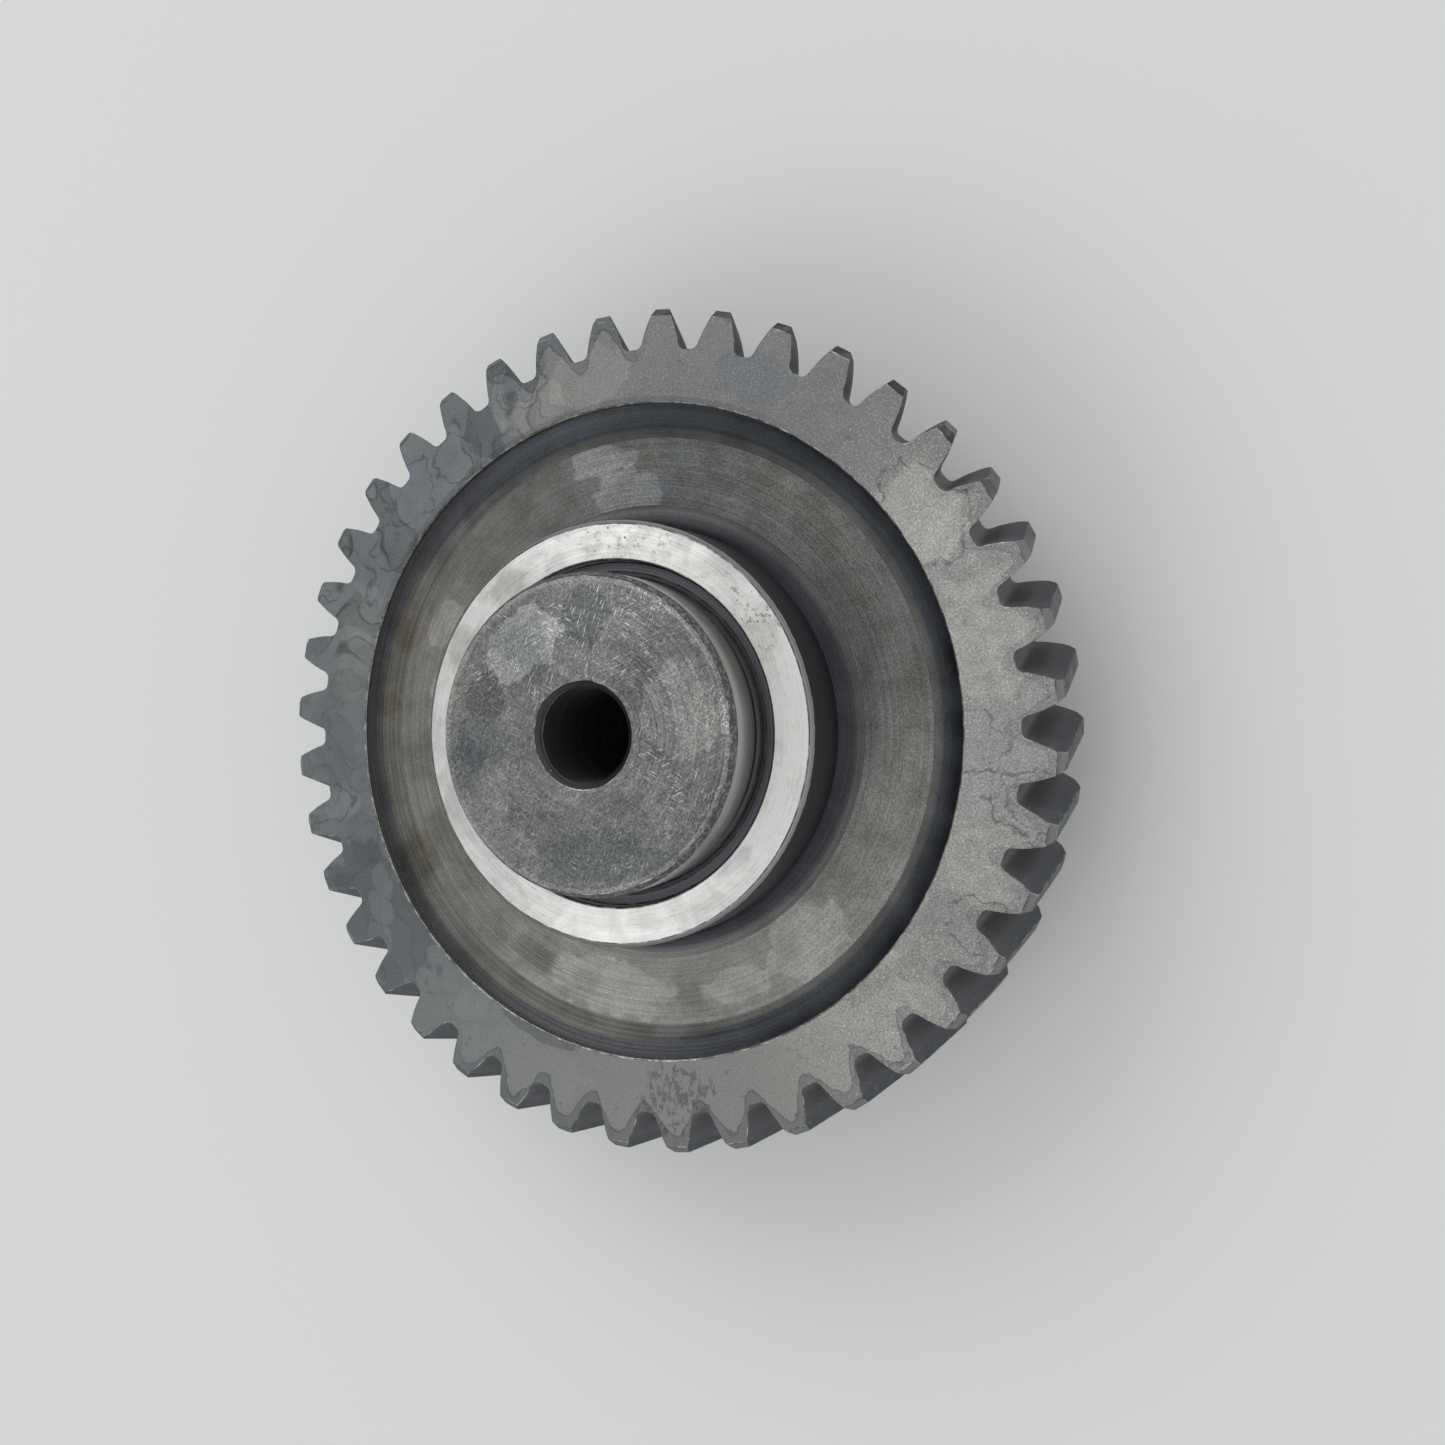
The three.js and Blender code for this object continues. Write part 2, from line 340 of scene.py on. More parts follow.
# Patches of handling and dried oil, and on the pilot's end one of painted sheen: where (angle in
# degrees, then radius, length round the axis and height along the radius in millimetres, the last two
# as half sizes), and tone.
RIM_PATCHES = (
    ((35.5, 67.0, 9.5, 7.0), (1.36, 1.34, 1.29)),
    ((15.0, 68.5, 12.0, 8.0), (1.18, 1.17, 1.14)),
    ((-19.0, 69.0, 9.0, 7.0), (1.08, 1.07, 1.05)),
    ((-32.0, 69.0, 10.0, 9.0), (0.84, 0.85, 0.85)),
    ((70.0, 69.0, 8.0, 5.0), (0.90, 0.93, 0.97)),
    ((99.0, 68.5, 9.0, 6.5), (1.22, 1.20, 1.17)),
    ((110.0, 66.5, 7.5, 4.5), (1.20, 1.18, 1.15)),
    ((111.0, 73.0, 4.0, 4.0), (0.80, 0.82, 0.84)),
    ((120.0, 67.5, 3.8, 6.8), (0.68, 0.70, 0.72)),
    ((150.0, 70.0, 5.5, 8.0), (0.88, 0.90, 0.92)),
    ((160.0, 66.5, 7.0, 5.0), (1.10, 1.09, 1.06)),
    ((183.0, 69.0, 7.0, 6.0), (0.89, 0.90, 0.92)),
    ((193.0, 69.5, 3.0, 5.0), (1.13, 1.13, 1.12)),
    ((200.0, 66.0, 6.0, 4.5), (0.88, 0.90, 0.92)),
    ((132.0, 70.0, 9.0, 5.0), (0.92, 0.95, 0.98)),
    ((168.0, 66.0, 8.0, 4.0), (1.12, 1.10, 1.06)),
    ((213.0, 70.0, 17.0, 14.0), (0.72, 0.74, 0.77)),
    ((246.0, 68.0, 17.0, 8.0), (1.07, 1.07, 1.06)),
    ((208.0, 65.5, 4.2, 2.4), (1.28, 1.26, 1.22)),
    ((212.0, 68.8, 4.0, 2.6), (1.28, 1.26, 1.22)),
    ((216.0, 72.2, 3.6, 2.6), (1.28, 1.26, 1.22)),
    ((250.0, 62.6, 9.0, 1.5), (0.70, 0.71, 0.72)),
    ((315.0, 63.5, 6.5, 2.2), (0.84, 0.85, 0.85)),
)
# Outlines of dried drops, as places only.
RIM_TIDES = (
    (111.0, 73.0, 4.1, 4.1),
    (111.0, 73.0, 5.6, 5.8),
    (155.0, 75.0, 5.5, 9.0),
    (127.0, 67.0, 4.5, 5.0),
    (137.0, 70.0, 6.5, 5.5),
    (146.0, 66.5, 5.0, 4.5),
    (35.5, 67.0, 9.7, 7.2),
    (192.0, 74.0, 4.0, 8.0),
    (-9.0, 77.0, 6.5, 9.5),
    (-9.0, 77.5, 4.6, 7.0),
    (-1.0, 63.0, 5.0, 6.5),
    (-27.0, 73.0, 5.0, 6.0),
)
RING_PATCHES = (
    ((128.0, 34.5, 4.5, 3.5), (0.84, 0.83, 0.79)),
    ((152.0, 34.5, 5.0, 4.0), (0.80, 0.80, 0.77)),
    ((30.0, 34.0, 5.0, 4.0), (0.86, 0.86, 0.83)),
    ((205.0, 34.5, 6.0, 4.0), (0.84, 0.85, 0.85)),
    ((318.0, 33.0, 4.0, 2.0), (0.80, 0.82, 0.84)),
)
END_PATCHES = (
    ((128.0, 20.0, 9.0, 6.0), (1.68, 1.69, 1.68)),
    ((160.0, 20.5, 4.5, 4.0), (0.66, 0.67, 0.67)),
    ((88.0, 20.5, 5.0, 5.5), (0.72, 0.745, 0.78)),
    ((209.0, 20.0, 5.0, 3.0), (1.24, 1.24, 1.22)),
    # Painted sheen on the right.
    ((12.0, 19.0, 9.0, 8.0), (1.45, 1.45, 1.42)),
    ((186.0, 20.5, 6.0, 5.0), (0.80, 0.825, 0.86)),
    ((280.0, 18.0, 12.0, 8.0), (0.78, 0.80, 0.80)),
    ((232.0, 24.0, 4.0, 4.0), (1.08, 1.08, 1.06)),
)
WEB_PATCHES = (
    ((100.5, 53.2, 6.8, 3.6), (1.48, 1.54, 1.60)),
    ((95.5, 45.6, 6.8, 5.2), (1.50, 1.56, 1.62)),
    ((79.0, 50.0, 9.0, 11.0), (0.85, 0.89, 0.95)),
    ((154.0, 50.0, 5.5, 3.6), (1.35, 1.40, 1.44)),
    ((173.0, 45.5, 9.0, 3.8), (1.38, 1.44, 1.50)),
    ((262.0, 50.2, 14.5, 5.6), (1.30, 1.31, 1.30)),
    ((291.0, 50.5, 8.0, 3.8), (1.28, 1.28, 1.26)),
    ((310.0, 49.5, 9.0, 6.6), (1.34, 1.34, 1.32)),
)
WEB_DRIPS = (
    ((160.0, 57.5, 5.0, 4.8), (0.82, 0.77, 0.70)),
    ((175.0, 58.5, 3.0, 4.2), (0.84, 0.79, 0.70)),
    ((207.0, 57.4, 6.4, 6.0), (0.70, 0.68, 0.63)),
    ((241.0, 50.5, 6.0, 4.0), (0.72, 0.72, 0.71)),
    ((280.0, 50.0, 3.4, 9.0), (0.90, 0.90, 0.89)),
)


def shore_radius(s):
    """Radius, drawn in at each tooth and out at each space, with some stray: for waterlines."""
    n = s.n
    turn = n.math("ARCTAN2", s.y, s.x)
    turn = n.math("SUBTRACT", n.math("MULTIPLY_ADD", s.z, -TWIST_PER_METRE, turn), MID_TOOTH_ANGLE)
    wave = n.math("COSINE", n.math("MULTIPLY", turn, float(TEETH)))
    shift = n.math("SUBTRACT", n.noise(s.place, 190.0, 3.0, 0.6, seed=18.0), 0.5)
    shore = n.math("MULTIPLY_ADD", shift, 6.0 * MM, s.radius)
    return n.math("MULTIPLY_ADD", wave, -3.4 * MM, shore)


def rim_roots(s, base, right):
    """Darkens the teeth beyond a waterline round their roots; also returns where that is."""
    n = s.n
    shore = shore_radius(s)
    waterline = ROOT_RADIUS + 1.2 * MM
    roots = n.math("MAXIMUM", s.sector(278.0, 0.70, 0.84), s.sector(103.0, 0.965, 0.985))
    roots = n.math("MAXIMUM", roots, n.math("MULTIPLY", right, 0.5))
    band = n.math("MULTIPLY", n.ramp(shore, waterline, waterline + 0.3 * MM), roots)
    base = s.tinted(base, band, (0.70, 0.73, 0.76))
    rim_line = n.math("MULTIPLY", n.line(shore, waterline, 0.45 * MM), roots)
    base = s.tinted(base, rim_line, (0.55, 0.57, 0.59))
    return base, band


def rim_stains(s, base):
    """Dried stains: steps in tone on the left, and outlines of drops in stated places."""
    n = s.n
    steps = ((0.43, 1.14), (0.50, 0.82), (0.57, 1.20))
    left = n.math("MULTIPLY", s.sector(137.0, 0.80, 0.93), 0.8)
    left = n.math("MULTIPLY_ADD", s.sector(188.0, 0.4, 0.9), 0.3, left)
    base = s.stained(base, 52.0, steps, 11.0, 0.75, 0.013, left)
    for place in RIM_TIDES:
        base = n.mix(n.math("MULTIPLY", s.tide(place), 0.6), base, TIDE_LINE)
    return base


def rim_face():
    """Turned face of the rim: matt grey, stained on the left and coarse on the right, with painted
    glints there.
    """
    s = Steel("rim_face")
    n = s.n
    right = s.sector(-8.0, 0.4, 0.9)
    base = n.mix(right, (0.225, 0.228, 0.227), (0.345, 0.345, 0.335))
    base = s.tinted(base, s.sector(185.0, 0.0, 0.6), (0.84, 0.89, 0.92))
    base = s.tinted(base, s.sector(270.0, 0.3, 0.9), (1.12, 1.10, 1.07))
    base = s.patched(base, RIM_PATCHES)
    base, teeth = rim_roots(s, base, right)
    lip = n.ramp(s.radius, DISH_RADIUS + 1.2 * MM, DISH_RADIUS + 1.6 * MM, 1.0, 0.0)
    lip = n.math("MULTIPLY", lip, s.sector(112.0, 0.5, 0.85))
    base = s.tinted(base, lip, (0.78, 0.79, 0.80))
    streaks = n.vector("SCALE", s.out, scale=62.0)
    x, y, _ = n.split(streaks)
    streaks = n.noise(n.combine(x, y, n.math("MULTIPLY", s.radius, 520.0)), 1.0, 5.0, 0.7, 0.3)
    mottled = n.math("MULTIPLY", n.ramp(streaks, 0.48, 0.55), s.spot((276.5, 69.0, 9.5, 8.0), 0.4))
    base = s.tinted(base, mottled, (0.60, 0.61, 0.60))
    base = rim_stains(s, base)
    veins = n.noise(s.place, 210.0, 5.0, 0.6, 0.4, seed=27.0)
    veins = n.math("MULTIPLY", n.line(veins, 0.5, 0.03), n.math("MULTIPLY", right, teeth))
    base = s.tinted(base, veins, (0.68, 0.69, 0.70))
    marble = n.noise(s.place, 380.0, 6.0, 0.7, 0.2, seed=29.0)
    marbled = s.varied(base, marble, 0.4, 0.6, 0.92, 1.08)
    base = n.mix(right, base, marbled)
    clouds = n.noise(s.place, 260.0, 5.0, 0.7, seed=3.0)
    base = s.varied(base, clouds, 0.3, 0.7, 0.91, 1.09)
    upper = n.math("MULTIPLY_ADD", s.sector(60.0, 0.3, 0.9), 0.45, right)
    coarse = n.ramp(upper, 0.0, 1.0, 0.12, 1.0)
    grit = n.noise(s.place, 2500.0, 3.0, 0.7, seed=5.0)
    base = n.mix(coarse, s.varied(base, grit, 0.3, 0.7, 0.90, 1.10),
                 s.varied(base, grit, 0.3, 0.7, 0.70, 1.30))
    # Painted glints: bright specks painted into the colour of the coarse part.
    glints = n.noise(s.place, 2900.0, 2.0, 0.6, seed=15.0)
    painted_glints = n.math("MULTIPLY", n.ramp(glints, 0.58, 0.68), coarse)
    base = n.mix(n.math("MULTIPLY", painted_glints, 0.5), base, (0.88, 0.88, 0.85))
    blots = n.ramp(n.noise(s.place, 430.0, 5.0, 0.72, seed=8.0), 0.59, 0.67)
    base = n.mix(n.math("MULTIPLY", blots, 0.35), base, (0.07, 0.072, 0.074))
    height = n.math("MULTIPLY", n.math("MULTIPLY_ADD", glints, 0.5, grit), coarse)
    return s.finish(base, n.ramp(clouds, 0.3, 0.7, 0.44, 0.6), n.bump(height, 0.6, 0.07 * MM))


def tooth_flank():
    """Dark, smooth flanks and roots, with a paler band of wear where the teeth have run and painted
    light towards the root.
    """
    s = Steel("tooth_flank", grazing=0.6)
    n = s.n
    clouds = n.noise(s.place, 420.0, 5.0, 0.72, seed=1.0)
    base = n.between(clouds, 0.3, 0.7, (0.125, 0.132, 0.145), (0.175, 0.183, 0.197))
    # Painted light: the flanks paler towards the root, lifting the shade between the teeth.
    painted_root_light = n.ramp(s.radius, ROOT_RADIUS + 0.5 * MM, ROOT_RADIUS + 4.5 * MM, 1.0, 0.0)
    base = n.mix(n.math("MULTIPLY", painted_root_light, 0.7), base, (0.27, 0.275, 0.285))
    worn_and_lit = n.line(s.radius, PITCH_RADIUS + 0.6 * MM, 2.2 * MM)
    base = n.mix(n.math("MULTIPLY", worn_and_lit, 0.35), base, (0.24, 0.245, 0.25))
    streak = n.noise(n.vector("MULTIPLY", s.place, (1.0, 1.0, 0.2)), 1500.0, 2.0, seed=4.0)
    base = n.mix(n.math("MULTIPLY", n.ramp(streak, 0.58, 0.72), 0.4), base, (0.3, 0.3, 0.3))
    return s.finish(base, n.ramp(clouds, 0.3, 0.7, 0.58, 0.7), n.bump(streak, 0.2, 0.02 * MM))


def tip_land():
    """Hobbed tips: mid grey with marks along the tooth."""
    s = Steel("tip_land", grazing=0.45)
    n = s.n
    clouds = n.noise(s.place, 300.0, 4.0, 0.65, seed=6.0)
    base = n.between(clouds, 0.35, 0.68, (0.22, 0.226, 0.235), (0.36, 0.362, 0.365))
    marks = n.noise(n.vector("MULTIPLY", s.place, (1.0, 1.0, 0.15)), 2200.0, 2.0, seed=7.0)
    base = n.mix(n.math("MULTIPLY", n.ramp(marks, 0.6, 0.72), 0.5), base, (0.5, 0.5, 0.5))
    return s.finish(base, 0.42, n.bump(marks, 0.2, 0.02 * MM))


def tip_chamfer():
    """Chamfer turned over the tips, with fine turning lines, in lit and shaded copies: painted shade
    at the top right, the lit copy elsewhere.
    """
    s = Steel("tip_chamfer", grazing=0.5)
    n = s.n
    lines = s.rings(s.radius, 5200.0, seed=3.0)
    base = n.between(lines, 0.35, 0.7, (0.05, 0.054, 0.06), (0.105, 0.11, 0.116))
    worn_and_lit = n.between(lines, 0.35, 0.7, (0.20, 0.205, 0.21), (0.30, 0.305, 0.305))
    # Painted shade: the caps at the top right take the dark copy, the rest the lit copy.
    base = n.mix(s.sector(62.0, 0.80, 0.93), worn_and_lit, base)
    patch = n.ramp(n.noise(s.place, 260.0, 3.0, seed=9.0), 0.5, 0.68)
    base = n.mix(n.math("MULTIPLY", patch, 0.4), base, (0.26, 0.26, 0.26))
    return s.finish(base, 0.42, n.bump(lines, 0.25, 0.02 * MM))


def dish_shade(name, shade_colour, pale, pale_at, deep_at, drift, seed):
    """Rounded corner of the dish, with painted shade: pale at the radius pale_at, blue-black shade at
    deep_at.

    On the left both are painted lighter, as lit, and the change lies further out, by drift.
    """
    s = Steel(name, grazing=0.6)
    n = s.n
    left = s.sector(205.0, 0.0, 0.8)
    drifted = n.math("MULTIPLY_ADD", left, -drift, s.radius)
    shaded = s.tinted(shade_colour, left, (1.45, 1.37, 1.28))
    base = n.mix(n.ramp(drifted, pale_at, deep_at), s.tinted(pale, left, (1.30, 1.26, 1.19)), shaded)
    stripes = s.rings(s.radius, 3300.0, waver=0.6, seed=seed)
    lined = n.ramp(s.sector(215.0, -0.2, 0.7), 0.0, 1.0, 0.13, 0.26)
    tone = n.math("MULTIPLY_ADD", n.ramp(stripes, 0.34, 0.66, -1.0, 1.0), lined, 1.0)
    base = s.tinted(base, 1.0, tone)
    # Painted shade at the foot of the dish wall, towards the lower left.
    corner = n.ramp(s.radius, DISH_RADIUS - 2.4 * MM, DISH_RADIUS - 1.2 * MM)
    corner = n.math("MULTIPLY", corner, s.sector(215.0, -0.3, 0.5))
    base = s.tinted(base, corner, (0.76, 0.76, 0.77))
    base = s.tinted(base, s.sector(75.0, 0.84, 0.97), (0.74, 0.74, 0.73))
    grain = n.noise(s.place, 2800.0, 2.0, seed=4.0)
    base = s.varied(base, grain, 0.3, 0.7, 0.86, 1.14)
    base = s.patched(base, WEB_DRIPS, 0.5)
    clouds = n.noise(s.place, 120.0, 4.0, 0.6, seed=seed + 1.0)
    base = s.varied(base, clouds, 0.3, 0.7, 0.8, 1.2)
    return s.finish(base, n.ramp(clouds, 0.3, 0.7, 0.34, 0.46), n.bump(stripes, 0.12, 0.02 * MM))


def web_floor():
    """Brown-grey turned web with fine lathe marks, short dark dashes and pale bluish patches."""
    s = Steel("web_floor")
    n = s.n
    clouds = n.noise(s.place, 130.0, 5.0, 0.62, 0.3, seed=21.0)
    base = n.between(clouds, 0.34, 0.66, (0.132, 0.131, 0.124), (0.205, 0.204, 0.196))
    base = s.tinted(base, s.sector(298.0, 0.2, 0.85), (1.52, 1.53, 1.52))
    base = s.tinted(base, s.sector(195.0, 0.2, 0.8), (1.26, 1.25, 1.20))
    base = s.patched(base, WEB_PATCHES, 0.14)
    base = s.patched(base, WEB_DRIPS, 0.5)
    marks = s.rings(s.radius, 3300.0, waver=0.6, detail=3.0, seed=5.0)
    lined = s.varied(base, marks, 0.34, 0.66, 0.80, 1.17)
    where = n.math("MAXIMUM", s.sector(40.0, 0.1, 0.9), s.sector(212.0, 0.3, 0.9))
    base = n.mix(where, s.varied(base, marks, 0.34, 0.66, 0.9, 1.1), lined)
    dashes = s.rings(s.radius, 3600.0, waver=22.0, detail=2.0, seed=9.0)
    base = n.mix(n.math("MULTIPLY", n.ramp(dashes, 0.63, 0.71), 0.5), base, (0.03, 0.03, 0.03))
    grain = n.noise(s.place, 2800.0, 2.0, seed=4.0)
    grainy = n.ramp(s.sector(30.0, -0.4, 0.8), 0.0, 1.0, 0.14, 0.26)
    tone = n.math("MULTIPLY_ADD", n.ramp(grain, 0.3, 0.7, -1.0, 1.0), grainy, 1.0)
    base = s.tinted(base, 1.0, tone)
    height = n.math("MULTIPLY_ADD", marks, 1.0, grain)
    return s.finish(base, n.ramp(clouds, 0.35, 0.65, 0.46, 0.58), n.bump(height, 0.35, 0.03 * MM))


def ground_ring():
    """Ground thrust face: bright, with a sheen across its grinding lines, stains and pits."""
    s = Steel("ground_ring", anisotropy=0.8)
    n = s.n
    lines = s.rings(s.radius, 4200.0, waver=0.8, detail=3.0, seed=1.0)
    base = n.between(lines, 0.3, 0.7, (0.78, 0.78, 0.76), (0.95, 0.95, 0.93))
    clouds = n.noise(s.place, 190.0, 5.0, 0.68, 0.6, seed=12.0)
    base = s.varied(base, clouds, 0.34, 0.66, 0.84, 1.1)
    # Painted highlight: the ring lighter on the right. Darker towards the bottom.
    base = s.tinted(base, s.sector(0.0, 0.5, 0.95), (1.16, 1.16, 1.16))
    base = s.tinted(base, s.sector(270.0, 0.6, 0.95), (0.93, 0.93, 0.93))
    base = s.patched(base, RING_PATCHES, 0.4)
    scratch = s.rings(s.radius, 6500.0, waver=9.0, detail=2.0, seed=14.0)
    base = n.mix(n.math("MULTIPLY", n.ramp(scratch, 0.6, 0.68), 0.45), base, (0.25, 0.25, 0.25))
    smears = n.noise(s.place, 900.0, 5.0, 0.78, seed=16.0)
    dirty = n.math("MAXIMUM", s.sector(84.0, 0.95, 0.995), s.sector(38.0, 0.96, 0.995))
    smears = n.math("MULTIPLY", n.ramp(smears, 0.54, 0.61), n.math("MULTIPLY_ADD", dirty, 0.6, 0.06))
    base = n.mix(smears, base, (0.16, 0.155, 0.14))
    pits = n.ramp(n.cells(s.place, 420.0), 0.06, 0.12, 1.0, 0.0)
    pits = n.math("MULTIPLY", pits, dirty)
    base = n.mix(n.math("MULTIPLY", pits, 0.85), base, (0.05, 0.05, 0.05))
    height = n.math("MULTIPLY_ADD", clouds, 1.5, lines)
    return s.finish(base, n.ramp(clouds, 0.35, 0.7, 0.28, 0.4), n.bump(height, 0.3, 0.02 * MM))


def turned_band(name, dark, light, roughness):
    """Thin turned band with fine lines round it."""
    s = Steel(name)
    n = s.n
    lines = s.rings(s.z, 6000.0, waver=0.6, seed=3.0)
    base = n.between(lines, 0.35, 0.65, dark, light)
    return s.finish(base, roughness, n.bump(lines, 0.3, 0.02 * MM))


def mouth_edge():
    """Broken edge at the mouth of the dish: brighter at the lower left, grey elsewhere."""
    s = Steel("mouth_edge")
    n = s.n
    wear = n.noise(s.place, 700.0, 3.0, 0.6, seed=7.0)
    # The lighter colours, used towards the lower left.
    brighter_lower_left = n.between(wear, 0.35, 0.65, (0.30, 0.30, 0.29), (0.60, 0.60, 0.58))
    grey = n.between(wear, 0.35, 0.65, (0.12, 0.122, 0.122), (0.26, 0.26, 0.255))
    return s.finish(n.mix(s.sector(232.0, 0.0, 0.6), grey, brighter_lower_left), 0.5)


def journal_end():
    """Turned end of the pilot: blue-grey, mottled, with fine rings, many small scratches and a painted
    sheen on the right.
    """
    s = Steel("journal_end", anisotropy=0.35)
    n = s.n
    mottle = n.noise(s.place, 80.0, 5.0, 0.55, 0.5, seed=4.0)
    base = n.between(mottle, 0.40, 0.60, (0.170, 0.178, 0.178), (0.236, 0.240, 0.232))
    rings = s.rings(s.radius, 3300.0, waver=0.5, detail=4.0, seed=6.0)
    # Painted sheen: the turning rings show stronger on the right.
    base = n.mix(s.sector(10.0, 0.2, 0.8), s.varied(base, rings, 0.32, 0.68, 0.9, 1.1),
                 s.varied(base, rings, 0.32, 0.68, 0.72, 1.3))
    base = s.patched(base, END_PATCHES, 0.09)
    rim = n.ramp(s.radius, PILOT_EDGE_RADIUS - 1.2 * MM, PILOT_EDGE_RADIUS - 0.6 * MM)
    base = s.tinted(base, rim, (1.32, 1.32, 1.30))
    for direction, seed in SCRATCHES:
        spun = n.turned(s.place, direction)
        sanded = n.noise(n.vector("MULTIPLY", spun, (0.3, 2.4, 1.0)), 1300.0, 3.0, 0.6,
                         seed=seed + 20.0)
        base = s.varied(base, sanded, 0.35, 0.65, 0.92, 1.09)
        streaks = n.noise(n.vector("MULTIPLY", spun, (0.22, 2.6, 1.0)), 1700.0, 1.0,
                          seed=seed)
        cluster = n.ramp(n.noise(s.place, 110.0, 3.0, seed=seed + 3.0), 0.44, 0.62, 0.04, 1.0)
        cluster = n.math("MULTIPLY", cluster, n.ramp(s.sector(65.0, -0.6, 0.5), 0.0, 1.0, 0.35, 1.0))
        streaks = n.math("MULTIPLY", n.ramp(streaks, 0.62, 0.68), cluster)
        base = n.mix(streaks, base, (0.80, 0.80, 0.78))
    specks = n.ramp(n.noise(s.place, 1100.0, 4.0, 0.75, seed=12.0), 0.6, 0.7)
    base = n.mix(n.math("MULTIPLY", specks, 0.6), base, (0.06, 0.06, 0.062))
    grain = n.noise(s.place, 3000.0, 2.0, 0.7, seed=9.0)
    base = s.varied(base, grain, 0.3, 0.7, 0.62, 1.38)
    height = n.math("MULTIPLY_ADD", rings, 1.2, grain)
    return s.finish(base, n.ramp(mottle, 0.3, 0.7, 0.36, 0.5), n.bump(height, 0.3, 0.025 * MM))


def lead_chamfer():
    """Rough dark lead on the pilot, full of specks."""
    s = Steel("lead_chamfer")
    n = s.n
    specks = n.noise(s.place, 1300.0, 3.0, 0.7, seed=3.0)
    base = n.between(specks, 0.45, 0.68, (0.12, 0.122, 0.124), (0.36, 0.36, 0.352))
    return s.finish(base, 0.5, n.bump(specks, 0.4, 0.05 * MM))


def journal_side():
    """Ground band of the pilot: satin, with lines round it."""
    s = Steel("journal_side")
    n = s.n
    lines = s.rings(s.z, 5200.0, waver=0.7, seed=8.0)
    base = n.between(lines, 0.3, 0.7, (0.50, 0.50, 0.49), (0.78, 0.78, 0.76))
    return s.finish(base, n.ramp(lines, 0.3, 0.7, 0.26, 0.4), n.bump(lines, 0.3, 0.02 * MM))


def shadow_steel(name, dark, light, roughness, seed):
    """Steel with fine rings and specks for grooves, bores and the gap at the hub; dark uses carry oil
    and painted shade, pale uses painted light.
    """
    s = Steel(name)
    n = s.n
    rings = s.rings(n.math("ADD", s.radius, s.z), 2600.0, waver=0.5, seed=seed)
    base = n.between(rings, 0.38, 0.72, dark, light)
    specks = n.ramp(n.noise(s.place, 1500.0, 2.0, 0.6, seed=seed + 2.0), 0.66, 0.76)
    base = n.mix(n.math("MULTIPLY", specks, 0.5), base, (0.35, 0.35, 0.35))
    return s.finish(base, roughness, n.bump(rings, 0.2, 0.02 * MM))


def worn_edge():
    """Edge polished by handling, bright where it has been knocked."""
    s = Steel("worn_edge", grazing=0.5)
    n = s.n
    wear = n.noise(s.place, 420.0, 4.0, 0.7, seed=5.0)
    base = n.between(wear, 0.42, 0.66, (0.11, 0.113, 0.118), (0.50, 0.50, 0.49))
    base = s.tinted(base, s.sector(112.0, 0.5, 0.9), (0.5, 0.5, 0.5))
    return s.finish(base, 0.36)


def bronze():
    """Bearing bronze, cloudy, with turning lines."""
    s = Steel("bronze")
    n = s.n
    clouds = n.noise(s.place, 160.0, 4.0, 0.6, seed=2.0)
    base = n.between(clouds, 0.35, 0.68, (0.34, 0.20, 0.095), (0.50, 0.33, 0.17))
    lines = s.rings(s.radius, 3200.0, seed=4.0)
    base = s.varied(base, lines, 0.3, 0.7, 0.85, 1.15)
    return s.finish(base, n.ramp(clouds, 0.3, 0.7, 0.36, 0.5), n.bump(lines, 0.25, 0.02 * MM))


# ---------------------------------------------------------------- mesh helpers
class Shell:
    """Points and faces of one piece; each face carries the name of its finish."""

    def __init__(self):
        self.points = []
        self.faces = []
        self.finishes = []

    def point(self, angle, radius, z):
        self.points.append((radius * math.cos(angle), radius * math.sin(angle), z))
        return len(self.points) - 1

    def ring(self, radius, z, start=0.0):
        return [self.point(start + TAU * i / SEGMENTS, radius, z) for i in range(SEGMENTS)]

    def face(self, corners, finish):
        self.faces.append(corners)
        self.finishes.append(finish)

    def band(self, first, second, finish):
        count = len(first)
        for i in range(count):
            j = (i + 1) % count
            self.face([first[i], first[j], second[j], second[i]], finish)

    def turn(self, profile, first=None, last=None, start=lambda z: 0.0):
        """Bands along a profile of (radius, z, finish); a finish belongs to the step to its point."""
        rings = [self.ring(radius, z, start(z)) for radius, z, _ in profile]
        rings[0] = first or rings[0]
        rings[-1] = last or rings[-1]
        for before, after, (_, _, finish) in zip(rings, rings[1:], profile[1:]):
            self.band(before, after, finish)

    def build(self, name, finishes):
        """The piece as an object, its outward edges rounded in the worn finish."""
        mesh = bpy.data.meshes.new(name)
        mesh.from_pydata(self.points, [], self.faces)
        names = sorted(set(self.finishes)) + ["worn_edge"]
        for entry in names:
            mesh.materials.append(finishes[entry])
        mesh.polygons.foreach_set("material_index", [names.index(f) for f in self.finishes])
        work = bmesh.new()
        work.from_mesh(mesh)
        bmesh.ops.delete(work, geom=[v for v in work.verts if not v.link_faces], context="VERTS")
        bmesh.ops.recalc_face_normals(work, faces=work.faces)
        weights = work.edges.layers.float.new("bevel_weight_edge")
        for edge in work.edges:
            if len(edge.link_faces) == 2 and edge.is_convex:
                edge[weights] = 1.0 if edge.calc_face_angle() > BEVELLED_FROM else 0.0
        work.to_mesh(mesh)
        work.free()
        mesh.shade_smooth()
        mesh.set_sharp_from_angle(angle=SHARP_FROM)
        obj = bpy.data.objects.new(name, mesh)
        bpy.context.scene.collection.objects.link(obj)
        rounding = obj.modifiers.new("edges", "BEVEL")
        rounding.limit_method = "WEIGHT"
        rounding.width = EDGE_BEVEL
        rounding.segments = 2
        rounding.material = len(names) - 1
        return obj


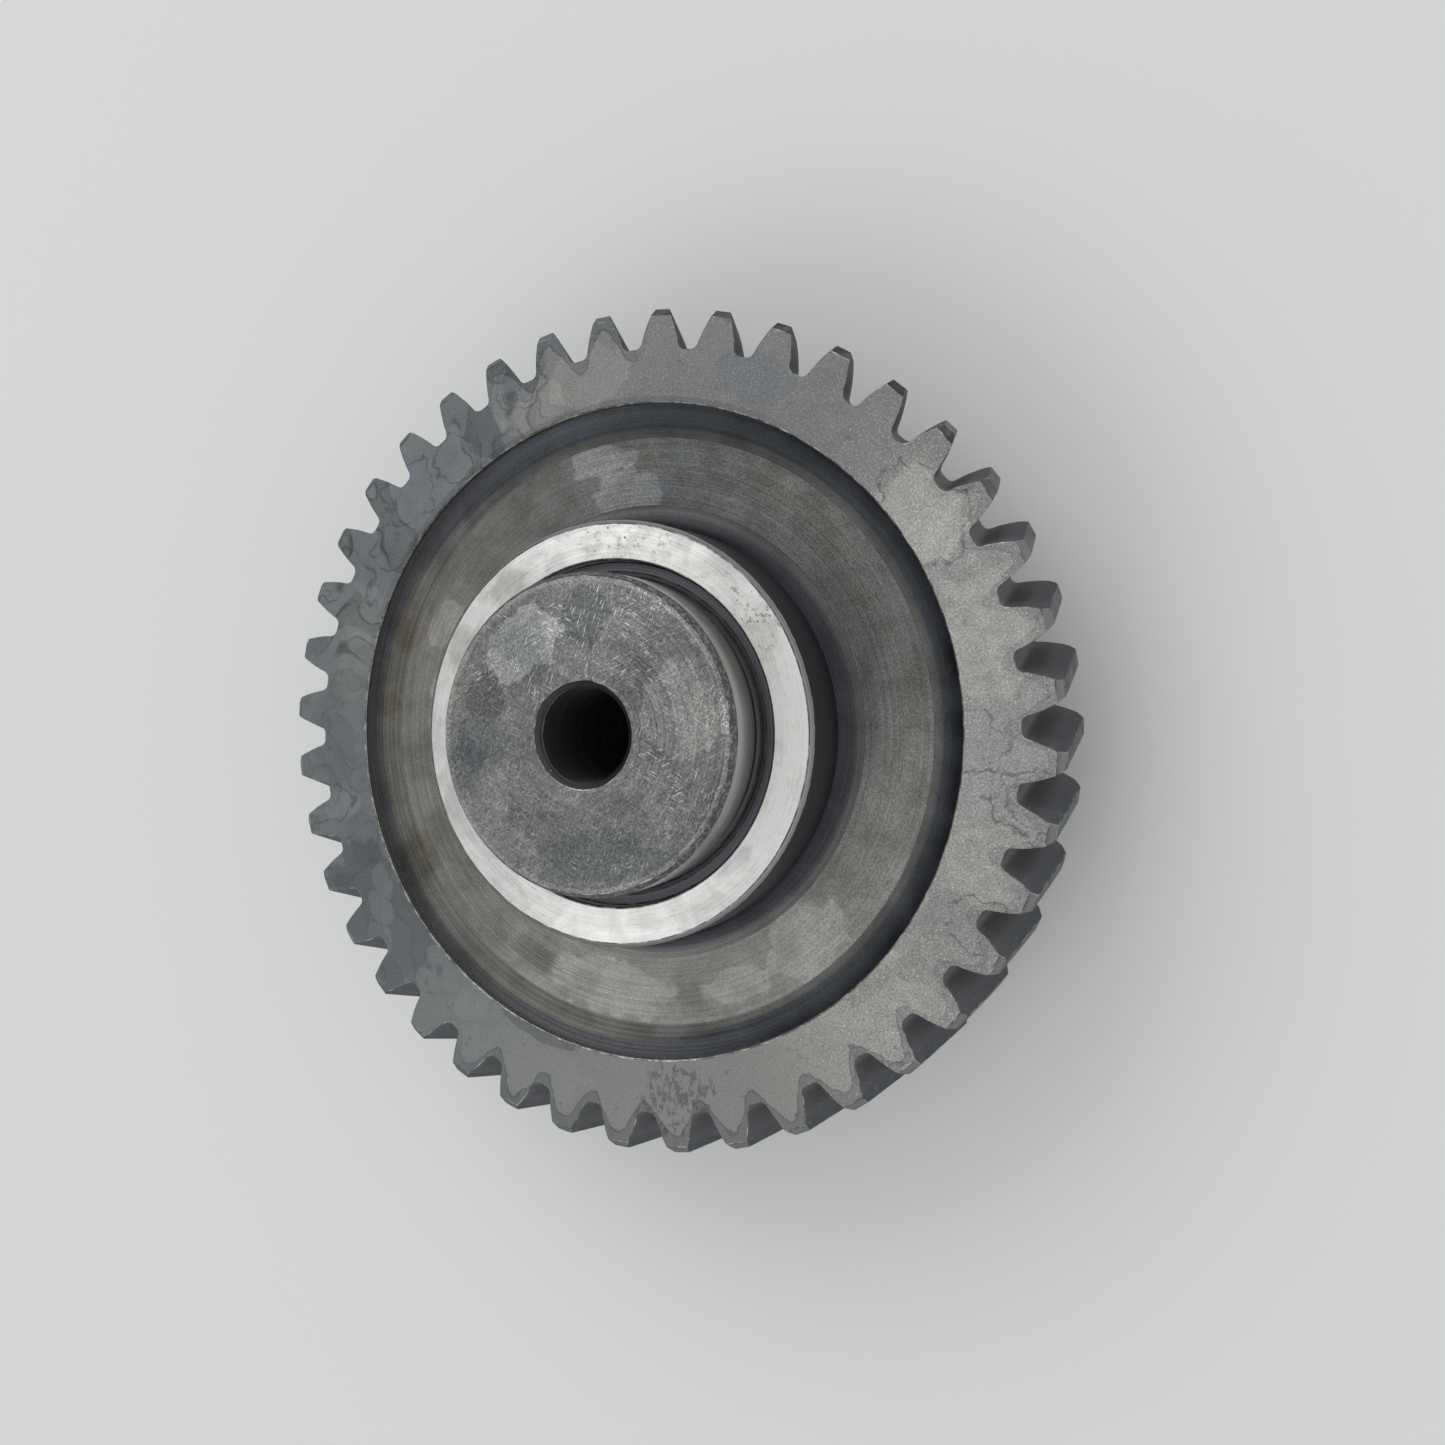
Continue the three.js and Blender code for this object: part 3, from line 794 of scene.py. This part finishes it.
def floor_fillet(r0, z0, r1, z1, steps):
    """A shallow arc that leaves a flat floor at (r0, z0) and climbs to (r1, z1)."""
    run, rise = abs(r1 - r0), z1 - z0
    radius = (run * run + rise * rise) / (2 * rise)
    sweep = math.asin(run / radius)
    side = 1 if r1 > r0 else -1
    angles = [sweep * i / steps for i in range(steps + 1)]
    return [(r0 + side * radius * math.sin(a), z0 + radius * (1 - math.cos(a))) for a in angles]


# ---------------------------------------------------------------- the toothed wheel
def involute(angle):
    """The involute function: the angle unrolled at a pressure angle."""
    return math.tan(angle) - angle


def half_tooth(radius):
    """Half the angle that a tooth fills at a radius."""
    pressure = math.acos(min(1.0, BASE_RADIUS / radius))
    return math.pi / (2 * TEETH) + involute(TRANSVERSE_ANGLE) - involute(pressure)


def tooth_outline():
    """One tooth as (angle, radius) pairs from mid space to mid space, anticlockwise."""
    foot_half = half_tooth(FLANK_FOOT_RADIUS)
    rising = [(-math.pi / TEETH, ROOT_RADIUS)]
    fillet_start = foot_half + ROOT_FILLET_START
    fillet_corner = foot_half + ROOT_FILLET_CORNER
    for i in range(ROOT_FILLET_STEPS):
        t = i / ROOT_FILLET_STEPS
        angle = (1 - t) ** 2 * fillet_start + 2 * t * (1 - t) * fillet_corner + t * t * foot_half
        rising.append((-angle, ROOT_RADIUS + t * t * (FLANK_FOOT_RADIUS - ROOT_RADIUS)))
    for i in range(FLANK_STEPS):
        radius = FLANK_FOOT_RADIUS + (CHAMFER_RADIUS - FLANK_FOOT_RADIUS) * i / FLANK_STEPS
        rising.append((-half_tooth(radius), radius))
    for i in range(TIP_CHAMFER_STEPS + 1):
        radius = CHAMFER_RADIUS + TIP_CHAMFER * i / TIP_CHAMFER_STEPS
        rising.append((-half_tooth(radius), radius))
    tip_half = half_tooth(TIP_RADIUS)
    crown = [(tip_half * share, TIP_RADIUS) for share in (-0.5, 0.0, 0.5)]
    return rising + crown + [(-angle, radius) for angle, radius in rising[:0:-1]]


def flank_top(radius):
    """Height of the tooth's end at a radius: the tips are chamfered at 45 degrees."""
    return HALF_FACE - max(0.0, radius - CHAMFER_RADIUS)


def sector_start(z):
    """Angle of the space before the first tooth, at a height along the helix."""
    return MID_TOOTH_ANGLE - math.pi / TEETH + TWIST_PER_METRE * z


def toothed_layers(shell, outline):
    """Rings of points along the teeth, each turned on by the helix."""
    layers = []
    for layer in range(FLANK_LAYERS + 1):
        share = 2 * layer / FLANK_LAYERS - 1
        row = []
        for tooth in range(TEETH):
            for angle, radius in outline:
                z = share * flank_top(radius)
                centre = MID_TOOTH_ANGLE + TAU * tooth / TEETH + TWIST_PER_METRE * z
                row.append(shell.point(centre + angle, radius, z))
        layers.append(row)
    return layers


def toothed_sides(shell, outline, layers):
    """Flanks, roots and tip lands between the layers."""
    size = len(outline)
    on_tip = [min(a[1], b[1]) > TIP_RADIUS - SAME_RADIUS
              for a, b in zip(outline, outline[1:] + outline[:1])]
    for lower, upper in zip(layers, layers[1:]):
        for i in range(len(lower)):
            j = (i + 1) % len(lower)
            finish = "tip_land" if on_tip[i % size] else "tooth_flank"
            shell.face([lower[i], lower[j], upper[j], upper[i]], finish)


def toothed_ends(shell, outline, layers):
    """Tip chamfers and tooth faces; returns the ring where each face joins the turned rim."""
    size = len(outline)
    above = [radius - CHAMFER_RADIUS for _, radius in outline]
    in_cap = [k for k in range(size) if above[k] > -SAME_RADIUS]
    in_face = [k for k in range(size) if above[k] < SAME_RADIUS]
    sides = {}
    for side, row in ((1, layers[-1]), (-1, layers[0])):
        z = side * HALF_FACE
        inner = shell.ring(FACE_RING_RADIUS, z, sector_start(z))
        sides[side] = inner
        for tooth in range(TEETH):
            first = tooth * size
            shell.face([row[first + k] for k in in_cap], "tip_chamfer")
            far = row[(first + size) % len(row)]
            near = [inner[(tooth * LATHE_PER_TOOTH + k) % SEGMENTS]
                    for k in range(LATHE_PER_TOOTH, -1, -1)]
            shell.face([row[first + k] for k in in_face] + [far] + near, "rim_face")
    return sides


def front_profile():
    """Turned front of the wheel from the rim face to the hub bore: (radius, z, finish)."""
    rim_fillet = floor_fillet(DISH_RADIUS - RIM_FILLET_SPAN, HALF_WEB,
                              DISH_RADIUS, DISH_WALL_FOOT, RIM_FILLET_STEPS)
    hub_fillet = floor_fillet(HUB_RADIUS + HUB_FILLET_SPAN, HALF_WEB,
                              HUB_RADIUS, HALF_WEB + HUB_FILLET_RISE, HUB_FILLET_STEPS)
    front = [
        (FACE_RING_RADIUS, HALF_FACE, "rim_face"),
        (DISH_RADIUS + EDGE_BREAK, HALF_FACE, "rim_face"),
        (DISH_RADIUS, HALF_FACE - EDGE_BREAK, "mouth_edge"),
        (DISH_RADIUS, DISH_WALL_FOOT, "dish_wall"),
    ]
    front += [(r, z, "rim_fillet") for r, z in rim_fillet[-2::-1]]
    front += [(r, z, "web_floor" if i == 0 else "hub_fillet")
              for i, (r, z) in enumerate(hub_fillet)]
    return front + [
        (HUB_RADIUS, HALF_HUB - HUB_CHAMFER, "hub_wall"),
        (RING_RADIUS, HALF_HUB, "hub_chamfer"),
        (HUB_BORE_RADIUS + EDGE_BREAK, HALF_HUB, "ground_ring"),
        (HUB_BORE_RADIUS, HALF_HUB - EDGE_BREAK, "hub_chamfer"),
    ]


def wheel_shell():
    """Toothed rim, web and hub as one closed shell."""
    shell = Shell()
    outline = tooth_outline()
    layers = toothed_layers(shell, outline)
    toothed_sides(shell, outline, layers)
    sides = toothed_ends(shell, outline, layers)
    front = front_profile()
    # Going back outwards along the rear, each step takes the finish of the front step it mirrors.
    finishes_back = ["bore"] + [finish for _, _, finish in front[::-1]]
    rear = [(r, -z, finish) for (r, z, _), finish in zip(front[::-1], finishes_back)]
    shell.turn(front + rear, sides[1], sides[-1], sector_start)
    return shell


# ---------------------------------------------------------------- turned pieces
def closed_turn(profile):
    """A turned piece from a profile that ends where it starts."""
    shell = Shell()
    first = shell.ring(profile[0][0], profile[0][1])
    shell.turn(profile, first, first)
    return shell


def spindle_shell():
    """Fixed shaft with rear collar, relief groove at the hub's end, pilot and bolt hole."""
    top = spindle_high.z
    mouth = BOLT_HOLE_RADIUS + BOLT_HOLE_CHAMFER
    groove = SPINDLE_RADIUS - RELIEF_DEPTH
    profile = [
        (BOLT_HOLE_RADIUS, -top + BOLT_HOLE_CHAMFER, "bolt_bore"),
        (mouth, -top, "hole_mouth"),
        (COLLAR_RADIUS - COLLAR_CHAMFER, -top, "journal_end"),
        (COLLAR_RADIUS, -top + COLLAR_CHAMFER, "lead_chamfer"),
        (COLLAR_RADIUS, COLLAR_TOP, "journal_side"),
        (SPINDLE_RADIUS, COLLAR_TOP, "journal_end"),
        (SPINDLE_RADIUS, HALF_HUB - RELIEF_BELOW, "journal_side"),
        (groove, HALF_HUB - RELIEF_BELOW + RELIEF_DEPTH, "groove"),
        (groove, HALF_HUB + RELIEF_ABOVE - RELIEF_DEPTH, "groove"),
        (SPINDLE_RADIUS, HALF_HUB + RELIEF_ABOVE, "groove"),
        (SPINDLE_RADIUS, top - PILOT_CHAMFER, "journal_side"),
        (PILOT_EDGE_RADIUS, top, "lead_chamfer"),
        (mouth, top, "journal_end"),
        (BOLT_HOLE_RADIUS, top - BOLT_HOLE_CHAMFER, "hole_mouth"),
        (BOLT_HOLE_RADIUS, -top + BOLT_HOLE_CHAMFER, "bolt_bore"),
    ]
    return closed_turn(profile)


def bushing_shell(side):
    """Plain bushing in the front (side 1) or the rear (side -1) of the hub bore."""
    inner, outer = bushing_low.z, bushing_high.z
    profile = [
        (BUSHING_INNER, inner, "bore"),
        (bushing_high.y, inner, "liner"),
        (bushing_high.y, outer - BUSHING_LEAD, "bore"),
        (bushing_high.y - BUSHING_LEAD, outer, "liner_lead"),
        (BUSHING_INNER + BUSHING_CHAMFER, outer, "liner"),
        (BUSHING_INNER, outer - BUSHING_CHAMFER, "liner_lead"),
        (BUSHING_INNER, inner, "bore"),
    ]
    return closed_turn([(radius, side * z, finish) for radius, z, finish in profile])


def washer_shell():
    """Flat washer between the rear thrust face and the collar."""
    profile = [
        (BUSHING_INNER, washer_low.z, "bronze"),
        (washer_high.y, washer_low.z, "bronze"),
        (washer_high.y, washer_high.z, "bronze"),
        (BUSHING_INNER, washer_high.z, "bronze"),
        (BUSHING_INNER, washer_low.z, "bronze"),
    ]
    return closed_turn(profile)


def drill_oil_hole(obj):
    """Cuts the radial oil hole that runs from the bolt hole to the space between the bushings."""
    bpy.ops.mesh.primitive_cylinder_add(
        vertices=32, radius=OIL_HOLE_RADIUS, depth=SPINDLE_RADIUS,
        location=(0, SPINDLE_RADIUS / 2 + BOLT_HOLE_RADIUS / 2, 0), rotation=(math.pi / 2, 0, 0))
    drill = bpy.context.object
    cut = obj.modifiers.new("oil_hole", "BOOLEAN")
    cut.object = drill
    cut.operation = "DIFFERENCE"
    cut.solver = "EXACT"
    solved = obj.evaluated_get(bpy.context.evaluated_depsgraph_get())
    drilled = bpy.data.meshes.new_from_object(solved)
    obj.modifiers.clear()
    obj.data = drilled
    bpy.data.objects.remove(drill)


# ---------------------------------------------------------------- the assembly
finishes = {
    "rim_face": rim_face(),
    "tooth_flank": tooth_flank(),
    "tip_land": tip_land(),
    "tip_chamfer": tip_chamfer(),
    "mouth_edge": mouth_edge(),
    "dish_wall": turned_band("dish_wall", (0.30, 0.295, 0.28), (0.62, 0.61, 0.58), 0.6),
    "rim_fillet": dish_shade("rim_fillet", (0.060, 0.065, 0.073), (0.122, 0.123, 0.120),
                             DISH_RADIUS - 5.0 * MM, DISH_RADIUS - 3.6 * MM, 2.3 * MM, 31.0),
    "hub_fillet": dish_shade("hub_fillet", (0.056, 0.059, 0.065), (0.135, 0.135, 0.131),
                             HUB_RADIUS + 4.0 * MM, HUB_RADIUS + 2.0 * MM, 0.0, 41.0),
    "hub_wall": shadow_steel("hub_wall", (0.125, 0.13, 0.142), (0.17, 0.175, 0.187), 0.5, 4.0),
    "web_floor": web_floor(),
    "ground_ring": ground_ring(),
    "hub_chamfer": turned_band("hub_chamfer", (0.16, 0.165, 0.17), (0.42, 0.42, 0.42), 0.4),
    "journal_end": journal_end(),
    "lead_chamfer": lead_chamfer(),
    "journal_side": journal_side(),
    # Painted shade at the mouth of the bolt hole.
    "hole_mouth": shadow_steel("hole_mouth", (0.04, 0.041, 0.044), (0.12, 0.12, 0.12), 0.45, 27.0),
    # Painted shade in the relief groove.
    "groove": shadow_steel("groove", (0.11, 0.116, 0.128), (0.19, 0.197, 0.21), 0.5, 12.0),
    # Painted light: pale, so that the bore wall at the hub's recess does not render dark.
    "bore": shadow_steel("bore", (0.55, 0.557, 0.575), (0.68, 0.687, 0.70), 0.85, 16.0),
    # Painted light inside the bolt hole.
    "bolt_bore": shadow_steel("bolt_bore", (0.20, 0.205, 0.225), (0.33, 0.335, 0.355), 0.5, 19.0),
    # Oil and painted shade on the bushing's ends in the gap at the hub.
    "liner": shadow_steel("liner", (0.10, 0.105, 0.115), (0.165, 0.17, 0.182), 0.5, 23.0),
    # Painted light on the bushing's lead.
    "liner_lead": shadow_steel("liner_lead", (0.28, 0.286, 0.30), (0.40, 0.41, 0.43), 0.5, 25.0),
    "bronze": bronze(),
    "worn_edge": worn_edge(),
}

wheel = wheel_shell().build("wheel", finishes)
axle = spindle_shell().build("axle", finishes)
drill_oil_hole(axle)
front_liner = bushing_shell(1).build("front_liner", finishes)
rear_liner = bushing_shell(-1).build("rear_liner", finishes)
washer = washer_shell().build("washer", finishes)

for obj, node, body, slot in (
        (wheel, "gear_wheel", "gear", "wheel_steel"),
        (axle, "spindle", "fixed_spindle", "spindle_steel"),
        (front_liner, "front_bushing", "gear", "bushing_steel"),
        (rear_liner, "rear_bushing", "gear", "bushing_steel"),
        (washer, "thrust_washer", "fixed_spindle", "washer_bronze")):
    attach(obj, body)
    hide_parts(node)


# ---------------------------------------------------------------- stage, light and camera
FLOOR_SIZE = 6
FLOOR_DROP = 0.02 * MM  # keeps the sheet off the spindle's end face
ROOM_LIGHT = 0.64

# The photograph's viewpoint, found by fitting a camera to the gear's circles.
CAMERA_PLACE = Vector((0.11966, 0.00646, 0.26223))
CAMERA_RIGHT = Vector((0.9260, 0.0, -0.3776))
CAMERA_UP = Vector((-0.0062, 0.9998, -0.0153))
CAMERA_BACK = CAMERA_RIGHT.cross(CAMERA_UP)


def paper():
    """Matt pale sheet."""
    material = bpy.data.materials.new("paper")
    material.use_nodes = True
    shader = material.node_tree.nodes["Principled BSDF"]
    shader.inputs["Base Color"].default_value = (0.772, 0.789, 0.780, 1)
    shader.inputs["Roughness"].default_value = 0.95
    return material


bpy.ops.mesh.primitive_plane_add(size=FLOOR_SIZE, location=(0, 0, spindle_low.z - FLOOR_DROP))
floor = bpy.context.object
floor.name = "floor"
floor.data.materials.append(paper())


def softbox(name, place, size, power):
    """A rectangular lamp aimed at the origin; size in metres, power in watts."""
    data = bpy.data.lights.new(name, "AREA")
    data.shape = "RECTANGLE"
    data.size, data.size_y = size
    data.energy = power
    obj = bpy.data.objects.new(name, data)
    obj.location = place
    obj.rotation_euler = (-Vector(place)).to_track_quat("-Z", "Y").to_euler()
    bpy.context.scene.collection.objects.link(obj)


softbox("window", (-0.93, 2.0, 1.76), (2.08, 1.76), 18.4)
softbox("overhead", (-0.8, -1.36, 1.76), (1.6, 1.12), 7.2)

world = bpy.data.worlds.new("room")
bpy.context.scene.world = world
world.use_nodes = True
world.node_tree.nodes["Background"].inputs["Color"].default_value = (1.0, 1.0, 1.0, 1)
world.node_tree.nodes["Background"].inputs["Strength"].default_value = ROOM_LIGHT

camera_data = bpy.data.cameras.new("camera")
camera_data.lens = 36.77
camera_data.sensor_width = 36
camera_data.clip_start = 0.01
camera = bpy.data.objects.new("camera", camera_data)
bpy.context.scene.collection.objects.link(camera)
turned_to = Matrix((CAMERA_RIGHT, CAMERA_UP, CAMERA_BACK)).transposed()
camera.matrix_world = Matrix.Translation(CAMERA_PLACE) @ turned_to.to_4x4()
bpy.context.scene.camera = camera
bpy.context.scene.view_settings.view_transform = "Standard"
